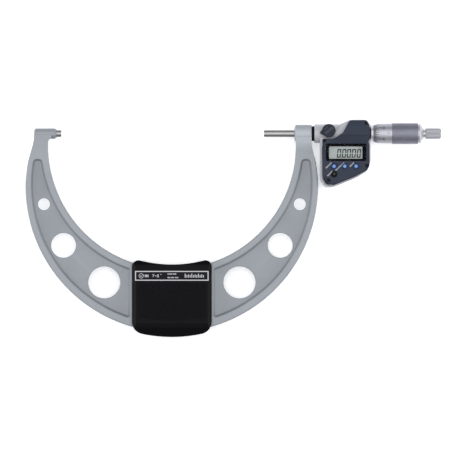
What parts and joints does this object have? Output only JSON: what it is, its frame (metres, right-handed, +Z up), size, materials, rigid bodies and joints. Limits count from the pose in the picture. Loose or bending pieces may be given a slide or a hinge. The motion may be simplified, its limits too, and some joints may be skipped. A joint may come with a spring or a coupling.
{
  "type": "electronic outside micrometer",
  "caption": "Outside micrometer with a U-shaped frame, fixed anvil, screw-fed spindle, thimble with ratchet, spindle lock, grip covers and an electronic display head.",
  "frame": {"origin": "centre of the anvil's measuring face, with the spindle at the bottom of its range and the tool lying on its back", "axes": "+X along the measuring axis from the anvil to the spindle, +Y out of the open side of the U, +Z up, out of the display"},
  "size_m": [0.3647, 0.1905, 0.0258],
  "materials": {
    "frame_paint": "hammered satin grey paint",
    "head_paint": "satin grey paint",
    "ground_steel": "ground",
    "carbide": "lapped",
    "satin_chrome": "satin chrome",
    "knurled_steel": "knurled, satin",
    "screw_steel": "satin",
    "spring_steel": "bright",
    "brass_insert": "turned",
    "battery_steel": "bright",
    "black_rubber": "matt",
    "keypad_rubber": "matt",
    "grip_plastic": "satin, textured",
    "label": "printed",
    "cover_plastic": "satin",
    "mask_black": "gloss",
    "window_clear": "clear",
    "lcd": "grey-green display",
    "inner_plastic": "moulded",
    "board_green": "solder mask",
    "lever_metal": "satin dark grey",
    "button_blue": "satin",
    "button_black": "satin",
    "cap_plastic": "satin"
  },
  "bodies": {
    "frame": {"frame": "frame_paint", "anvil": "ground_steel", "anvil_tip": "carbide", "spindle_bush": "ground_steel", "spindle_wiper": "black_rubber", "front_grip_cover": "grip_plastic", "rear_grip_cover": "grip_plastic", "grip_screw_left": "screw_steel", "grip_screw_right": "screw_steel", "grip_insert_left": "brass_insert", "grip_insert_right": "brass_insert", "label_plate": "label", "head_seal_ring": "black_rubber", "head_housing": "head_paint", "rear_spindle_bush": "ground_steel", "lock_clamp_ring": "ground_steel", "display_cover": "cover_plastic", "cover_gasket": "black_rubber", "window_mask": "mask_black", "display_window": "window_clear", "lcd_panel": "lcd", "lcd_holder": "inner_plastic", "elastomer_connector": "keypad_rubber", "circuit_board": "board_green", "keypad": "keypad_rubber", "cover_screw_1": "screw_steel", "cover_screw_2": "screw_steel", "cover_screw_3": "screw_steel", "cover_screw_4": "screw_steel", "encoder_stator": "board_green", "rotor_bearing": "inner_plastic", "inner_sleeve": "ground_steel", "graduated_sleeve": "satin_chrome", "adjusting_nut": "ground_steel", "battery": "battery_steel", "battery_holder": "inner_plastic", "battery_contact": "spring_steel", "output_socket": "inner_plastic", "output_socket_cover": "cap_plastic", "socket_screw_left": "screw_steel", "socket_screw_right": "screw_steel"},
    "rotor": {"encoder_rotor": "inner_plastic"},
    "spindle": {"spindle": "ground_steel", "spindle_tip": "carbide", "thimble": "satin_chrome", "thimble_grip": "knurled_steel", "thimble_cap": "satin_chrome", "ratchet_wheel": "ground_steel", "ratchet_screw": "screw_steel"},
    "ratchet": {"ratchet_knob": "knurled_steel", "ratchet_spring": "spring_steel"},
    "plate": {"ratchet_plate": "ground_steel"},
    "lock": {"lock_lever": "lever_metal", "lock_shaft": "ground_steel"},
    "left_button": {"button_left": "button_blue"},
    "middle_button": {"button_middle": "button_blue"},
    "right_button": {"button_right": "button_blue"},
    "lower_button": {"button_lower": "button_black"},
    "cap": {"battery_cap": "cap_plastic", "battery_cap_seal": "black_rubber"}
  },
  "joints": [
    {"name": "thimble_turn", "type": "hinge", "parent": "frame", "child": "rotor", "pos_m": [0.255, 0, 0], "axis": [1, 0, 0], "range_deg": [-380, 14780]},
    {"name": "spindle_feed", "type": "slide", "parent": "rotor", "child": "spindle", "axis": [1, 0, 0], "range_m": [-0.00064, 0.02603]},
    {"name": "ratchet_turn", "type": "hinge", "parent": "spindle", "child": "ratchet", "pos_m": [0.326, 0, 0], "axis": [1, 0, 0], "continuous": true},
    {"name": "ratchet_plate_lift", "type": "slide", "parent": "ratchet", "child": "plate", "axis": [1, 0, 0], "range_m": [0, 0.0006], "stiffness_N_per_m": 400},
    {"name": "lock_lever_turn", "type": "hinge", "parent": "frame", "child": "lock", "pos_m": [0.2346, 0.0024, 0.009], "axis": [0, 0, -1], "range_deg": [0, 60]},
    {"name": "left_button_press", "type": "slide", "parent": "frame", "child": "left_button", "axis": [0, 0, -1], "range_m": [0, 0.0006], "stiffness_N_per_m": 600},
    {"name": "middle_button_press", "type": "slide", "parent": "frame", "child": "middle_button", "axis": [0, 0, -1], "range_m": [0, 0.0006], "stiffness_N_per_m": 600},
    {"name": "right_button_press", "type": "slide", "parent": "frame", "child": "right_button", "axis": [0, 0, -1], "range_m": [0, 0.0006], "stiffness_N_per_m": 600},
    {"name": "lower_button_press", "type": "slide", "parent": "frame", "child": "lower_button", "axis": [0, 0, -1], "range_m": [0, 0.0006], "stiffness_N_per_m": 600},
    {"name": "battery_cap_turn", "type": "hinge", "parent": "frame", "child": "cap", "pos_m": [0.25, -0.022, -0.0115], "axis": [0, 0, 1], "range_deg": [0, 60]}
  ],
  "couplings": [
    {"joint": "thimble_turn", "follows": "spindle_feed", "rad_per_m": 9894.8}
  ]
}
